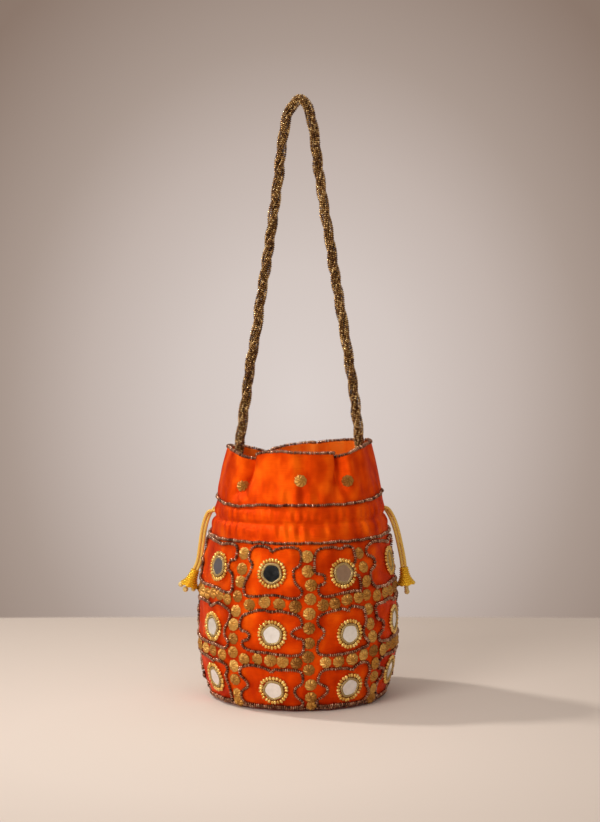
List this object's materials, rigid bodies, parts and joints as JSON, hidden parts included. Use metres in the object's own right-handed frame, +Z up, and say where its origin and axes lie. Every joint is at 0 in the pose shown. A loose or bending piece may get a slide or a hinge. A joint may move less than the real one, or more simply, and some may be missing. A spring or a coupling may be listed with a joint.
{
  "type": "potli bag",
  "caption": "Small round-based drawstring bag of embroidered silk with mirror work, beaded edges, a ruffled mouth, bell tassels and a swinging beaded rope handle.",
  "frame": {"origin": "on the floor at the middle of the round base, which is the bottom centre of the bag's box without the hanging cords", "axes": "+Z up along the bag, the front faces -Y, +X to the right seen from the front"},
  "size_m": [0.1904, 0.1594, 0.4824],
  "materials": {
    "orange_silk": "satin dupion silk",
    "base_silk": "satin dupion silk",
    "lining_silk": "satin silk",
    "board": "matt card",
    "satin_cord": "glossy satin cord",
    "gold_thread": "wrapped metallic thread",
    "gold_stamens": "wrapped metallic thread",
    "rope_beads": "metallic seed beads",
    "line_beads": "metallic seed beads",
    "mirror_glass": "mirror",
    "gold_buttons": "gilt, twisted wire"
  },
  "bodies": {
    "bag": {"outer_silk": "orange_silk", "base_panel": "base_silk", "base_board": "board", "lining": "lining_silk", "rim_beading": "line_beads", "neck_beading": "line_beads", "body_beading": "line_beads", "base_beading": "line_beads", "drawcord_left": "satin_cord", "drawcord_left_tail_front": "satin_cord", "drawcord_left_tail_back": "satin_cord", "tassel_bell_left": "gold_thread", "tassel_stamens_left": "gold_stamens", "handle_end_left": "rope_beads", "drawcord_right": "satin_cord", "drawcord_right_tail_front": "satin_cord", "drawcord_right_tail_back": "satin_cord", "tassel_bell_right": "gold_thread", "tassel_stamens_right": "gold_stamens", "handle_end_right": "rope_beads", "mirror_upper_1": "mirror_glass", "mirror_upper_2": "mirror_glass", "mirror_upper_3": "mirror_glass", "mirror_upper_4": "mirror_glass", "mirror_upper_5": "mirror_glass", "mirror_upper_6": "mirror_glass", "mirror_upper_7": "mirror_glass", "mirror_upper_8": "mirror_glass", "mirror_middle_1": "mirror_glass", "mirror_middle_2": "mirror_glass", "mirror_middle_3": "mirror_glass", "mirror_middle_4": "mirror_glass", "mirror_middle_5": "mirror_glass", "mirror_middle_6": "mirror_glass", "mirror_middle_7": "mirror_glass", "mirror_middle_8": "mirror_glass", "mirror_lower_1": "mirror_glass", "mirror_lower_2": "mirror_glass", "mirror_lower_3": "mirror_glass", "mirror_lower_4": "mirror_glass", "mirror_lower_5": "mirror_glass", "mirror_lower_6": "mirror_glass", "mirror_lower_7": "mirror_glass", "mirror_lower_8": "mirror_glass", "ruffle_button_1": "gold_buttons", "ruffle_button_2": "gold_buttons", "ruffle_button_3": "gold_buttons", "ruffle_button_4": "gold_buttons", "ruffle_button_5": "gold_buttons", "ruffle_button_6": "gold_buttons", "ruffle_button_7": "gold_buttons", "ruffle_button_8": "gold_buttons"},
    "handle": {"handle_rope": "rope_beads"}
  },
  "joints": [
    {"name": "handle_swing", "type": "hinge", "parent": "bag", "child": "handle", "pos_m": [0, 0, 0.204], "axis": [1, 0, 0], "range_deg": [-75, 75]}
  ]
}
